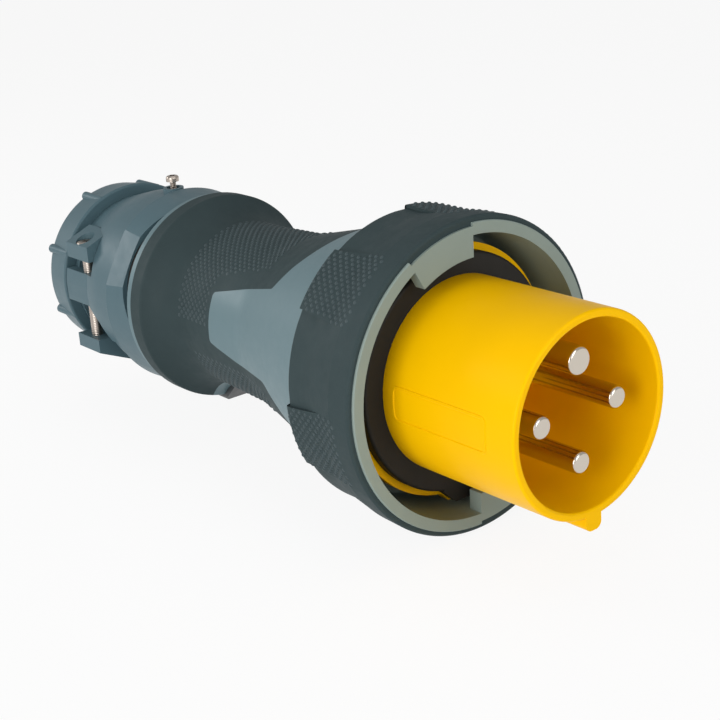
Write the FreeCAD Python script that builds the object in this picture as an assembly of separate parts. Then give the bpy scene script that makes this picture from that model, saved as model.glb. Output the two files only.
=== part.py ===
# Locking power plug, four pins, with a bayonet ring, a two-material handle and an external cord clamp.
# Millimetres. +X runs along the plug's axis out of its pins, +Z is up (earth pin up, key down).
# The origin lies on the axis in the plane of the gasket's front face, where the shroud starts.
import FreeCAD
import Part
import math
import os

# Shroud, the round yellow tube round the pins; its radius sets where all that surrounds it stands
SHROUD_R = 35.6
SHROUD_WALL = 3.0
SHROUD_LENGTH = 62.0
SHROUD_FLOOR = 4.0
SHROUD_RIM_ROUND = 0.9
KEY_HEIGHT = 4.9
KEY_WIDTH = 7.2
KEY_TIP_ROUND = 2.6

# Fits
FIT_GAP = 0.1
RUN_GAP = 0.05
AXIAL_GAP = 0.3
BODY_GAP = 0.4

# Flange and base of the shroud, and the gasket on the flange
GASKET_THICK = 4.4
GASKET_WIDTH = 7.9
GASKET_ROUND = 1.2
FLANGE_WIDTH = 10.4
FLANGE_THICK = 4.6
FLANGE_TAB_REACH = 2.8
FLANGE_TAB_TIP = 9.6
FLANGE_TAB_ROOT = 22.0
FLANGE_TAB_ROUND = 1.0
GASKET_TAB_DROP = 0.8
BASE_STEP = 5.7
BASE_DEPTH = 11.0
SEAL_THICK = 1.0
SEAL_WIDTH = 3.4

# Contact pins with their screw terminals
PIN_CIRCLE_R = 17.8
LINE_PIN_R = 4.0
EARTH_PIN_R = 5.0
PIN_ROOT_STEP = 0.6
PIN_SETBACK = 4.5
PIN_TIP_ROUND = 1.2
PIN_SHOULDER_STEP = 0.8
PIN_SHOULDER_THICK = 3.0
TERMINAL_R = 7.0
TERMINAL_LENGTH = 26.0
WIRE_HOLE_R = 4.4
WIRE_HOLE_DEPTH = 20.0
LINE_PIN_ANGLES = (180.0, 270.0, 0.0)
EARTH_PIN_ANGLE = 90.0

# Terminal screws, set across the barrels and backed out, and the screws that hold the carrier
TERMINAL_SCREW_R = 2.5
TERMINAL_SCREW_HEAD_R = 3.6
TERMINAL_SCREW_HEAD = 3.0
TERMINAL_SCREW_REACH = 12.0
TERMINAL_SCREW_FROM_END = 8.0
SCREW_SLOT_WIDTH = 1.0
SCREW_SLOT_DEPTH = 1.2
CARRIER_STEP = 3.3
CARRIER_RELIEF_R = 8.0
CARRIER_RELIEF_INSET = 11.5
CARRIER_RELIEF_ANGLES = (135.0, 315.0)
CARRIER_RELIEF_DEPTH = 24.0
CARRIER_END_WALL = 3.0
CARRIER_SCREW_INSET = 10.5
CARRIER_SCREW_R = 1.8
CARRIER_SCREW_HEAD_R = 3.4
CARRIER_SCREW_HEAD = 2.4
CARRIER_SCREW_GRIP = 8.0
CARRIER_SCREW_ANGLES = (45.0, 225.0)

# Locking ring: hard plastic core, its two lugs, and its rubber cover
RING_FRONT_X = 8.8
RING_LIP_LENGTH = 2.6
RING_LIP_WIDTH = 4.3
RING_BORE_ROOM = 5.3
RING_BORE_TAPER = 1.7
RING_CORE_WALL = 3.1
RING_CORE_TAPER = 2.4
HUB_LENGTH = 6.5
HUB_ROUND = 1.0
LUG_ROOM = 8.0
LUG_THICK = 4.4
LUG_RAMP = 1.6
LUG_SPAN = 31.0
LUG_CENTRES = (104.5, 284.5)
LIP_FLAT_DEPTH = 1.3
COVER_LIP_WALL = 2.1
COVER_FRONT_GAP = 0.9
COVER_WAIST_DEPTH = 2.8
COVER_WAIST_DROP = 26.0
COVER_CROWN = 10.3
COVER_CROWN_SLOPE = 2.0
COVER_CREASE_ROUND = 1.5
COVER_WAIST_BLEND_R = 40.0
COVER_REAR_WRAP = 0.8
COVER_EDGE_ROUND = 1.2
PAD_HEIGHT = 1.4
PAD_COUNT = 6
PAD_SPAN = 30.0
PAD_FIRST_CENTRE = 15.0
PAD_LENGTH = 25.0
PAD_CHAMFER = 1.2

# Handle: collar that carries the ring, bell, neck, rubber skin and rear flange
COLLAR_WALL = 4.2
COLLAR_LENGTH = 17.5
SNAP_BEAD_HEIGHT = 0.9
SNAP_BEAD_LENGTH = 2.4
BELL_STEP = 3.9
BELL_BLEND_R = 30.0
NECK_FRONT_X = -86.0
NECK_DROP = 14.1
FLARE_X = -136.0
NECK_TAPER = 2.3
HANDLE_WALL = 3.2
RUBBER = 2.5
FLARE_BLEND_R = 22.0
GRIP_FLANGE_RISE = 6.6
GRIP_FLANGE_LENGTH = 8.1
GRIP_FLANGE_ROUND = 1.4
GRIP_REAR_X = -151.5
SHELL_FLANGE_STEP = 1.0
SHELL_FLANGE_LENGTH = 3.3
PANEL_END_X = -41.0
PANEL_OVERLAP = 2.6
PANEL_CORNERS = (
    (-52.0, 42.2, 12.0),
    (-60.5, 33.5, 12.0),
    (-66.5, 25.6, 2.0),
    (-106.8, 16.4, 2.0),
    (-106.8, -3.0, 1.5),
    (-102.0, -4.4, 3.0),
    (-87.0, -8.0, 20.0),
    (-65.0, -8.0, 4.0),
    (-58.5, -16.5, 8.0),
)
LATCH_FRAME_WIDTH = 24.6
LATCH_FRAME_FRONT_X = -131.0
LATCH_WIDTH = 13.0
LATCH_FRONT_X = -134.5
LATCH_SINK = 7.5
LATCH_RISE = 2.4
LATCH_FALL = 9.0
LATCH_HEEL_LENGTH = 8.0
LATCH_ROUND = 1.5
LATCH_SIDE_ROUND = 3.0
SPIGOT_RISE = 3.4
SPIGOT_LENGTH = 25.0
SPIGOT_WALL = 3.0

# Seal in the joint and the rear housing, whose front edge has a crescent cut and a flat on each side
JOINT_SEAL_THICK = 7.5
JOINT_SEAL_WIDTH = 2.5
REAR_FRONT_STEP = 1.2
REAR_CROWN_RISE = 1.3
REAR_CROWN_LENGTH = 17.0
REAR_CROWN_ROUND = 0.5
REAR_STEP_DROP = 1.9
REAR_STEP_LENGTH = 0.8
REAR_MID_DROP = 2.6
REAR_MID_LENGTH = 35.2
REAR_TAIL_DROP = 6.1
REAR_LENGTH = 57.7
REAR_BLEND_R = 60.0
REAR_FLAT_ANGLE = 150.0
REAR_FLAT_DEPTH = 1.8
REAR_FLAT_FRONT_DEPTH = 1.3
CRESCENT_DEPTH = 6.2
CRESCENT_HALF_SPAN = 42.0
CHAMBER_STEP = 2.4
CHAMBER_TAPER = 4.4
NECK_THREAD_STEP = 1.4
NECK_THREAD_LENGTH = 11.5
NECK_THREAD_ROUND = 1.0
GLAND_POCKET_WALL = 5.0
GLAND_LIP_THICK = 3.0
GLAND_LIP_WIDTH = 6.0

# Locking screw of the rear housing, which stands proud as in the photo
SCREW_BOSS_X = -177.0
SCREW_BOSS_R = 4.4
SCREW_BOSS_RISE = 0.2
SCREW_POCKET_R = 2.9
SCREW_POCKET_DEPTH = 3.0
HOUSING_SCREW_R = 1.2
HOUSING_SCREW_HEAD_R = 2.75
HOUSING_SCREW_HEAD = 2.4
PAN_HEAD_ROUND = 1.0
HOUSING_SCREW_RISE = 5.1
HOUSING_SCREW_LENGTH = 12.6
CROSS_WIDTH = 0.8
CROSS_DEPTH = 1.0

# Cord clamp: jaws, ears, windows and long screws, set ahead of the housing's rear shoulder
CLAMP_FROM_TAIL = 14.2
CLAMP_WIDTH = 17.6
EAR_RISE = 4.9
EAR_BOTTOM_Z = 15.2
EAR_TOP_Z = 21.8
EAR_TOP_SLOPE = 22.0
LOWER_EAR_TOP_Z = -19.7
LOWER_EAR_BOTTOM_Z = -25.6
LOWER_EAR_SLOPE = 24.0
LOWER_EAR_REACH = 16.3
WEB_TOP_Z = 9.0
WEB_BOTTOM_Z = -5.0
CHEEK_RISE = 0.1
WINDOW_DEPTH_Y = 13.0
SLANT_TOP_STEP = 3.1
SLANT_BEND_STEP = 10.5
SLANT_BEND_Z = -11.0
SLANT_LOW_STEP = 16.7
JAW_BORE_ROOM = 4.0
JAW_SIDE_ROOM = 3.6
JAW_EDGE_Z = 11.0
JAW_TOP_Z = 25.0
CLAMP_SCREW_INSET = 4.7
CLAMP_SCREW_R = 2.4
CLAMP_SCREW_HEAD_R = 4.1
CLAMP_SCREW_HEAD = 3.0
CLAMP_SCREW_TAIL = 1.5
CLAMP_RECESS_DEPTH = 2.4
CLAMP_NUT_R = 4.4
CLAMP_NUT_THICK = 3.2

# Gland: seal sleeve, slip ring and ribbed nut
SLEEVE_LENGTH = 11.5
SLEEVE_WALL = 12.0
SLEEVE_LIP = 1.5
SLIP_RING_THICK = 1.8
SLIP_RING_ROOM = 3.0
NUT_WALL = 6.6
NUT_TAPER = 2.0
NUT_END_WALL = 3.6
NUT_BORE_ROOM = 2.0
NUT_EDGE_ROUND = 1.0
NUT_RIB_COUNT = 8
NUT_RIB_FIRST = 22.5
NUT_RIB_R = 2.0

# Radii of insert and ring that follow from the shroud, going outwards
GASKET_R = SHROUD_R + GASKET_WIDTH
FLANGE_R = SHROUD_R + FLANGE_WIDTH
FLANGE_TAB_R = FLANGE_R + FLANGE_TAB_REACH
LUG_R = SHROUD_R + LUG_ROOM
COLLAR_BORE_R = SHROUD_R + BASE_STEP
COLLAR_R = COLLAR_BORE_R + COLLAR_WALL
CARRIER_R = COLLAR_BORE_R - CARRIER_STEP
CARRIER_RELIEF_CIRCLE_R = CARRIER_R - CARRIER_RELIEF_INSET
CARRIER_SCREW_CIRCLE_R = CARRIER_R - CARRIER_SCREW_INSET
PIN_SHOULDER_R = TERMINAL_R + PIN_SHOULDER_STEP
RING_BORE_R = FLANGE_R + RING_BORE_ROOM
RING_BORE_REAR_R = RING_BORE_R - RING_BORE_TAPER
RING_CORE_FRONT_R = RING_BORE_R + RING_CORE_WALL
RING_CORE_REAR_R = RING_CORE_FRONT_R - RING_CORE_TAPER
RING_LIP_R = RING_BORE_R + RING_LIP_WIDTH
COVER_R = RING_LIP_R + COVER_LIP_WALL
COVER_WAIST_R = COVER_R - COVER_WAIST_DEPTH
PAD_R = COVER_WAIST_R + PAD_HEIGHT

# Radii of the handle, going back from the ring
BELL_R = COLLAR_R + BELL_STEP
NECK_FRONT_R = BELL_R - NECK_DROP
NECK_REAR_R = NECK_FRONT_R - NECK_TAPER
SPIGOT_R = NECK_REAR_R + SPIGOT_RISE
GRIP_FLANGE_R = SPIGOT_R + GRIP_FLANGE_RISE
SHELL_FLANGE_R = GRIP_FLANGE_R - SHELL_FLANGE_STEP
LATCH_DEPTH_Z = GRIP_FLANGE_R - LATCH_SINK
LATCH_BOTTOM_Z = GRIP_FLANGE_R + LATCH_RISE
PANEL_REACH_Z = BELL_R + PANEL_OVERLAP

# Radii of rear housing, clamp and gland, going back from the handle's flange
JOINT_SEAL_R = SPIGOT_R + JOINT_SEAL_WIDTH
REAR_FRONT_R = SHELL_FLANGE_R - REAR_FRONT_STEP
REAR_CROWN_R = REAR_FRONT_R + REAR_CROWN_RISE
REAR_MID_R = REAR_CROWN_R - REAR_MID_DROP
REAR_TAIL_R = REAR_MID_R - REAR_TAIL_DROP
CHAMBER_FRONT_R = SPIGOT_R - CHAMBER_STEP
CHAMBER_REAR_R = CHAMBER_FRONT_R - CHAMBER_TAPER
NECK_THREAD_R = REAR_TAIL_R - NECK_THREAD_STEP
GLAND_POCKET_R = NECK_THREAD_R - GLAND_POCKET_WALL
GLAND_LIP_R = GLAND_POCKET_R - GLAND_LIP_WIDTH
SLEEVE_BORE_R = GLAND_POCKET_R - SLEEVE_WALL
SLIP_RING_BORE_R = SLEEVE_BORE_R + SLIP_RING_ROOM
NUT_FRONT_R = NECK_THREAD_R + NUT_WALL
NUT_REAR_R = NUT_FRONT_R - NUT_TAPER
NUT_BORE_R = SLIP_RING_BORE_R + NUT_BORE_ROOM
SCREW_BOSS_TOP = REAR_CROWN_R + SCREW_BOSS_RISE
HOUSING_SCREW_TOP = SCREW_BOSS_TOP + HOUSING_SCREW_RISE
EAR_Y = REAR_TAIL_R + EAR_RISE
LOWER_EAR_DROP = LOWER_EAR_REACH * math.tan(math.radians(LOWER_EAR_SLOPE))
CHEEK_R = EAR_Y + CHEEK_RISE
CLAMP_SCREW_Y = EAR_Y - CLAMP_SCREW_INSET
JAW_BORE_R = SLEEVE_BORE_R + JAW_BORE_ROOM
JAW_HALF_WIDTH = CHAMBER_REAR_R - JAW_SIDE_ROOM

# Stations along the axis that follow from the sizes above
FLANGE_FRONT_X = -GASKET_THICK
FLANGE_REAR_X = FLANGE_FRONT_X - FLANGE_THICK
COLLAR_FRONT_X = FLANGE_REAR_X - SEAL_THICK
BASE_REAR_X = FLANGE_REAR_X - BASE_DEPTH
BELL_FRONT_X = COLLAR_FRONT_X - COLLAR_LENGTH
RING_REAR_X = BELL_FRONT_X + AXIAL_GAP
HUB_FRONT_X = RING_REAR_X + HUB_LENGTH
COVER_FRONT_X = RING_FRONT_X - COVER_FRONT_GAP
COVER_REAR_X = RING_REAR_X - COVER_REAR_WRAP
PIN_TIP_X = SHROUD_LENGTH - PIN_SETBACK
PIN_SHOULDER_REAR_X = BASE_REAR_X - PIN_SHOULDER_THICK
TERMINAL_REAR_X = PIN_SHOULDER_REAR_X - TERMINAL_LENGTH
TERMINAL_SCREW_X = TERMINAL_REAR_X + TERMINAL_SCREW_FROM_END
CARRIER_REAR_X = TERMINAL_REAR_X - CARRIER_END_WALL
GRIP_FLANGE_FRONT_X = GRIP_REAR_X + GRIP_FLANGE_LENGTH
SHELL_REAR_X = GRIP_REAR_X - SHELL_FLANGE_LENGTH
SPIGOT_REAR_X = SHELL_REAR_X - SPIGOT_LENGTH
REAR_FRONT_X = SHELL_REAR_X
JOINT_SEAL_REAR_X = SHELL_REAR_X - JOINT_SEAL_THICK
REAR_CROWN_X = REAR_FRONT_X - REAR_CROWN_LENGTH
REAR_STEP_X = REAR_CROWN_X - REAR_STEP_LENGTH
REAR_MID_X = REAR_FRONT_X - REAR_MID_LENGTH
REAR_TAIL_X = REAR_FRONT_X - REAR_LENGTH
NECK_END_X = REAR_TAIL_X - NECK_THREAD_LENGTH
GLAND_LIP_REAR_X = NECK_END_X + SLEEVE_LENGTH
GLAND_LIP_FRONT_X = GLAND_LIP_REAR_X + GLAND_LIP_THICK
SLIP_RING_REAR_X = NECK_END_X - SLIP_RING_THICK
NUT_FRONT_X = REAR_TAIL_X - BODY_GAP
NUT_REAR_X = SLIP_RING_REAR_X - NUT_END_WALL
CLAMP_X = REAR_TAIL_X + CLAMP_FROM_TAIL
CLAMP_FRONT_X = CLAMP_X + CLAMP_WIDTH / 2
CLAMP_REAR_X = CLAMP_X - CLAMP_WIDTH / 2
WINDOW_REAR_X = CLAMP_REAR_X - AXIAL_GAP
WINDOW_FRONT_X = CLAMP_FRONT_X + AXIAL_GAP
SLANT_TOP_X = CLAMP_X + SLANT_TOP_STEP
SLANT_BEND_X = CLAMP_X + SLANT_BEND_STEP
SLANT_LOW_X = CLAMP_X + SLANT_LOW_STEP

AXIS = FreeCAD.Vector(1, 0, 0)
UP = FreeCAD.Vector(0, 0, 1)
SIDE = FreeCAD.Vector(0, 1, 0)
ORIGIN = FreeCAD.Vector(0, 0, 0)
FAR = 200.0


def point(x, r, angle=90.0):
    """A point at station x, distance r from the axis, at an angle from +Y towards +Z."""
    turn = math.radians(angle)
    return FreeCAD.Vector(x, r * math.cos(turn), r * math.sin(turn))


def rounded_wire(corners):
    """A closed wire through corners, each a vector and the radius that rounds it."""
    starts = []
    ends = []
    arcs = []
    count = len(corners)
    for i in range(count):
        here, radius = corners[i]
        before = (corners[i - 1][0] - here).normalize()
        after = (corners[(i + 1) % count][0] - here).normalize()
        half = before.getAngle(after) / 2
        if radius > 0 and half < math.pi / 2 - 1e-6:
            reach = radius / math.tan(half)
            first = here + before * reach
            last = here + after * reach
            middle = (before + after).normalize()
            crown = here + middle * (radius / math.sin(half) - radius)
            arcs.append(Part.Arc(first, crown, last).toShape())
        else:
            first = here
            last = here
            arcs.append(None)
        starts.append(first)
        ends.append(last)
    edges = []
    for i in range(count):
        if arcs[i] is not None:
            edges.append(arcs[i])
        leave = ends[i]
        reach_next = starts[(i + 1) % count]
        if (reach_next - leave).Length > 1e-6:
            edges.append(Part.LineSegment(leave, reach_next).toShape())
    return Part.Wire(edges)


def turned(*corners):
    """Revolve a closed outline about the axis; each corner is (x, r) or (x, r, rounding)."""
    outline = []
    for corner in corners:
        radius = corner[2] if len(corner) > 2 else 0
        outline.append((FreeCAD.Vector(corner[0], 0, corner[1]), radius))
    return Part.Face(rounded_wire(outline)).revolve(ORIGIN, AXIS, 360)


def disc(rear_x, front_x, radius):
    """A solid cylinder about the axis between two stations."""
    return Part.makeCylinder(radius, front_x - rear_x, FreeCAD.Vector(rear_x, 0, 0), AXIS)


def tube(rear_x, front_x, outer, inner):
    """A tube about the axis between two stations."""
    return disc(rear_x, front_x, outer).cut(disc(rear_x, front_x, inner))


def rod(rear_x, front_x, radius, angle, circle_r):
    """A cylinder parallel to the axis, on a circle about it."""
    return Part.makeCylinder(radius, front_x - rear_x, point(rear_x, circle_r, angle), AXIS)


def box(low_x, high_x, low_y, high_y, low_z, high_z):
    """A block between two corners."""
    corner = FreeCAD.Vector(low_x, low_y, low_z)
    return Part.makeBox(high_x - low_x, high_y - low_y, high_z - low_z, corner)


def sector(rear_x, front_x, reach, centre, span):
    """A wedge about the axis that is span degrees wide and centred on an angle."""
    start = point(rear_x, reach, centre - span / 2)
    middle = point(rear_x, reach, centre)
    end = point(rear_x, reach, centre + span / 2)
    hub = point(rear_x, 0, centre)
    wire = Part.Wire([
        Part.LineSegment(hub, start).toShape(),
        Part.Arc(start, middle, end).toShape(),
        Part.LineSegment(end, hub).toShape(),
    ])
    return Part.Face(wire).extrude(AXIS * (front_x - rear_x))


def prism_xz(outline, low_y, high_y):
    """Extrude an outline of (x, z, rounding) corners along Y."""
    corners = []
    for x, z, radius in outline:
        corners.append((FreeCAD.Vector(x, low_y, z), radius))
    return Part.Face(rounded_wire(corners)).extrude(SIDE * (high_y - low_y))


def prism_yz(outline, low_x, high_x):
    """Extrude an outline of (y, z, rounding) corners along X."""
    corners = []
    for y, z, radius in outline:
        corners.append((FreeCAD.Vector(low_x, y, z), radius))
    return Part.Face(rounded_wire(corners)).extrude(AXIS * (high_x - low_x))


def upright(x, y, low_z, high_z, radius):
    """A vertical cylinder."""
    return Part.makeCylinder(radius, high_z - low_z, FreeCAD.Vector(x, y, low_z), UP)


def joined(shapes):
    """Fuse shapes into one."""
    whole = shapes[0]
    if len(shapes) > 1:
        whole = whole.fuse(shapes[1:])
    return whole.removeSplitter()


def mirrored(shape):
    """The same shape on the other side of the upright middle plane."""
    return shape.mirror(ORIGIN, SIDE)


def pin_places():
    """Name, angle and radius of each pin."""
    places = [("earth_pin", EARTH_PIN_ANGLE, EARTH_PIN_R)]
    for number, angle in enumerate(LINE_PIN_ANGLES, start=1):
        places.append((f"line_pin_{number}", angle, LINE_PIN_R))
    return places


def flange_tab(rear_x, front_x, reach):
    """Bulge of the flange and the gasket below the key, with slanted sides."""
    root = GASKET_R * math.cos(math.asin(FLANGE_TAB_ROOT / 2 / GASKET_R))
    tab = prism_yz([
        (-FLANGE_TAB_ROOT / 2, -root, 0),
        (-FLANGE_TAB_TIP / 2, -reach, FLANGE_TAB_ROUND),
        (FLANGE_TAB_TIP / 2, -reach, FLANGE_TAB_ROUND),
        (FLANGE_TAB_ROOT / 2, -root, 0),
        (KEY_WIDTH / 2, -SHROUD_R - 1, 0),
        (-KEY_WIDTH / 2, -SHROUD_R - 1, 0),
    ], rear_x, front_x)
    return tab


def shroud_key():
    """Rib under the shroud, from its flange to its rim."""
    root = SHROUD_R - SHROUD_WALL / 2
    key_tip = SHROUD_R + KEY_HEIGHT
    half = KEY_WIDTH / 2
    return prism_yz([
        (-half, -root, 0),
        (-half, -key_tip, KEY_TIP_ROUND),
        (half, -key_tip, KEY_TIP_ROUND),
        (half, -root, 0),
    ], FLANGE_FRONT_X, SHROUD_LENGTH)


def contact_shroud():
    """Shroud tube, floor, flange and base in one moulding, with the key below."""
    inner_r = SHROUD_R - SHROUD_WALL
    base_r = COLLAR_BORE_R - FIT_GAP
    body = turned(
        (BASE_REAR_X, 0),
        (BASE_REAR_X, base_r),
        (FLANGE_REAR_X, base_r),
        (FLANGE_REAR_X, FLANGE_R),
        (FLANGE_FRONT_X, FLANGE_R),
        (FLANGE_FRONT_X, SHROUD_R),
        (SHROUD_LENGTH, SHROUD_R, SHROUD_RIM_ROUND),
        (SHROUD_LENGTH, inner_r, SHROUD_RIM_ROUND),
        (SHROUD_FLOOR, inner_r),
        (SHROUD_FLOOR, 0),
    )
    tab = flange_tab(FLANGE_REAR_X, FLANGE_FRONT_X, FLANGE_TAB_R)
    body = joined([body, shroud_key(), tab])
    holes = []
    for name, angle, radius in pin_places():
        holes.append(rod(BASE_REAR_X, SHROUD_FLOOR, radius + PIN_ROOT_STEP, angle, PIN_CIRCLE_R))
    grip_x = BASE_REAR_X + CARRIER_SCREW_GRIP
    for angle in CARRIER_SCREW_ANGLES:
        holes.append(rod(BASE_REAR_X, grip_x, CARRIER_SCREW_R, angle, CARRIER_SCREW_CIRCLE_R))
    return body.cut(holes)


def face_gasket():
    """Flat black ring on the flange, notched for the key, with the small bulge below."""
    ring = turned(
        (FLANGE_FRONT_X, SHROUD_R),
        (FLANGE_FRONT_X, GASKET_R),
        (0, GASKET_R, GASKET_ROUND),
        (0, SHROUD_R),
    )
    gasket = joined([ring, flange_tab(FLANGE_FRONT_X, 0, FLANGE_TAB_R - GASKET_TAB_DROP)])
    return gasket.cut(shroud_key())


def insert_seal():
    """Thin ring between the flange and the handle's collar."""
    outer = COLLAR_R - BODY_GAP
    return tube(COLLAR_FRONT_X, FLANGE_REAR_X, outer, outer - SEAL_WIDTH)


def contact_pin(angle, radius):
    """Turned pin with a shoulder and a terminal barrel, which is drilled for the wire and its screw."""
    centre = point(0, PIN_CIRCLE_R, angle)
    body = turned(
        (TERMINAL_REAR_X, 0),
        (TERMINAL_REAR_X, TERMINAL_R),
        (PIN_SHOULDER_REAR_X, TERMINAL_R),
        (PIN_SHOULDER_REAR_X, PIN_SHOULDER_R),
        (BASE_REAR_X, PIN_SHOULDER_R),
        (BASE_REAR_X, radius + PIN_ROOT_STEP),
        (SHROUD_FLOOR, radius + PIN_ROOT_STEP),
        (SHROUD_FLOOR, radius),
        (PIN_TIP_X, radius, PIN_TIP_ROUND),
        (PIN_TIP_X, 0),
    )
    body.translate(centre)
    wire_hole = rod(TERMINAL_REAR_X, TERMINAL_REAR_X + WIRE_HOLE_DEPTH, WIRE_HOLE_R, angle, PIN_CIRCLE_R)
    outward = point(0, 1, angle)
    start = point(TERMINAL_SCREW_X, PIN_CIRCLE_R, angle)
    screw_hole = Part.makeCylinder(TERMINAL_SCREW_R, TERMINAL_R + 1, start, outward)
    return body.cut([wire_hole, screw_hole])


def terminal_screw(angle):
    """Slotted screw that presses the wire in one barrel, backed out of its hole for the wire."""
    outward = point(0, 1, angle)
    foot = PIN_CIRCLE_R + WIRE_HOLE_R
    start = point(TERMINAL_SCREW_X, foot, angle)
    shank = Part.makeCylinder(TERMINAL_SCREW_R, TERMINAL_SCREW_REACH - TERMINAL_SCREW_HEAD, start, outward)
    head_foot = foot + TERMINAL_SCREW_REACH - TERMINAL_SCREW_HEAD
    head_start = point(TERMINAL_SCREW_X, head_foot, angle)
    head = Part.makeCylinder(TERMINAL_SCREW_HEAD_R, TERMINAL_SCREW_HEAD, head_start, outward)
    top = head_foot + TERMINAL_SCREW_HEAD
    slot = box(
        TERMINAL_SCREW_X - TERMINAL_SCREW_HEAD_R, TERMINAL_SCREW_X + TERMINAL_SCREW_HEAD_R,
        top - SCREW_SLOT_DEPTH, top + 1,
        -SCREW_SLOT_WIDTH / 2, SCREW_SLOT_WIDTH / 2,
    )
    slot.rotate(ORIGIN, AXIS, angle)
    return joined([shank, head]).cut(slot)


def carrier_screw(angle):
    """Screw that holds the terminal carrier to the shroud's base."""
    front = BASE_REAR_X + CARRIER_SCREW_GRIP
    shank = rod(CARRIER_REAR_X, front, CARRIER_SCREW_R, angle, CARRIER_SCREW_CIRCLE_R)
    head_rear = CARRIER_REAR_X - CARRIER_SCREW_HEAD
    head = rod(head_rear, CARRIER_REAR_X, CARRIER_SCREW_HEAD_R, angle, CARRIER_SCREW_CIRCLE_R)
    slot = box(
        head_rear, head_rear + SCREW_SLOT_DEPTH,
        CARRIER_SCREW_CIRCLE_R - CARRIER_SCREW_HEAD_R, CARRIER_SCREW_CIRCLE_R + CARRIER_SCREW_HEAD_R,
        -SCREW_SLOT_WIDTH / 2, SCREW_SLOT_WIDTH / 2,
    )
    slot.rotate(ORIGIN, AXIS, angle)
    return joined([shank, head]).cut(slot)


def terminal_carrier():
    """Insulating block that surrounds the four barrels and lets their screws be reached."""
    block = disc(CARRIER_REAR_X, BASE_REAR_X, CARRIER_R)
    cuts = []
    for name, angle, radius in pin_places():
        cuts.append(rod(PIN_SHOULDER_REAR_X, BASE_REAR_X, PIN_SHOULDER_R, angle, PIN_CIRCLE_R))
        cuts.append(rod(TERMINAL_REAR_X, BASE_REAR_X, TERMINAL_R, angle, PIN_CIRCLE_R))
        cuts.append(rod(CARRIER_REAR_X, TERMINAL_REAR_X, WIRE_HOLE_R, angle, PIN_CIRCLE_R))
        outward = point(0, 1, angle)
        start = point(TERMINAL_SCREW_X, PIN_CIRCLE_R, angle)
        well = Part.makeCylinder(TERMINAL_SCREW_HEAD_R, CARRIER_R, start, outward)
        cuts.append(well)
    for angle in CARRIER_SCREW_ANGLES:
        cuts.append(rod(CARRIER_REAR_X, BASE_REAR_X, CARRIER_SCREW_R, angle, CARRIER_SCREW_CIRCLE_R))
    relief_x = CARRIER_REAR_X + CARRIER_RELIEF_DEPTH
    for angle in CARRIER_RELIEF_ANGLES:
        cuts.append(rod(CARRIER_REAR_X, relief_x, CARRIER_RELIEF_R, angle, CARRIER_RELIEF_CIRCLE_R))
    return block.cut(cuts)


def ring_lug(centre):
    """Bayonet lug that reaches in from the ring's lip; its rear face is a ramp."""
    front = RING_FRONT_X
    rear = front - LUG_THICK - LUG_RAMP
    outer = (RING_BORE_R + RING_LIP_R) / 2
    lug = sector(rear, front, outer, centre, LUG_SPAN)
    lug = lug.cut(disc(rear, front, LUG_R))
    half = LUG_SPAN / 2
    reach = outer + 1
    low_start = point(rear, LUG_R - 1, centre - half)
    low_end = point(rear, LUG_R - 1, centre + half)
    chord = low_end - low_start
    ramp_foot = FreeCAD.Vector(0, 0, 0) + low_start - chord * 0.1
    ramp_end = low_end + chord * 0.1
    outward = point(0, 1, centre)
    wedge_wire = Part.makePolygon([
        ramp_foot,
        ramp_end,
        ramp_end + AXIS * LUG_RAMP,
        ramp_foot,
    ])
    depth = reach - LUG_R + 1 + LUG_R * (1 - math.cos(math.radians(half)))
    wedge = Part.Face(wedge_wire).extrude(outward * depth)
    return lug.cut(wedge)


def lip_flats(front_x):
    """The two stretches at the lugs where the rubber comes further in over the lip."""
    rear_x = RING_FRONT_X - RING_LIP_LENGTH
    flats = []
    for centre in LUG_CENTRES:
        wedge = sector(rear_x, front_x, RING_LIP_R, centre, LUG_SPAN)
        flats.append(wedge.cut(disc(rear_x, front_x, RING_LIP_R - LIP_FLAT_DEPTH)))
    return flats


def locking_ring():
    """Hard core of the ring: lip, bore, hub that runs on the collar, and two lugs."""
    hub_r = COLLAR_R + RUN_GAP
    body = turned(
        (RING_REAR_X, hub_r),
        (RING_REAR_X, RING_CORE_REAR_R),
        (RING_FRONT_X - RING_LIP_LENGTH, RING_CORE_FRONT_R),
        (RING_FRONT_X - RING_LIP_LENGTH, RING_LIP_R),
        (RING_FRONT_X, RING_LIP_R, COVER_FRONT_GAP / 2),
        (RING_FRONT_X, RING_BORE_R),
        (RING_FRONT_X - LUG_THICK, RING_BORE_R),
        (HUB_FRONT_X, RING_BORE_REAR_R, HUB_ROUND),
        (HUB_FRONT_X, hub_r),
    )
    body = joined([body, ring_lug(LUG_CENTRES[0]), ring_lug(LUG_CENTRES[1])])
    return body.cut(lip_flats(RING_FRONT_X))


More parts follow.
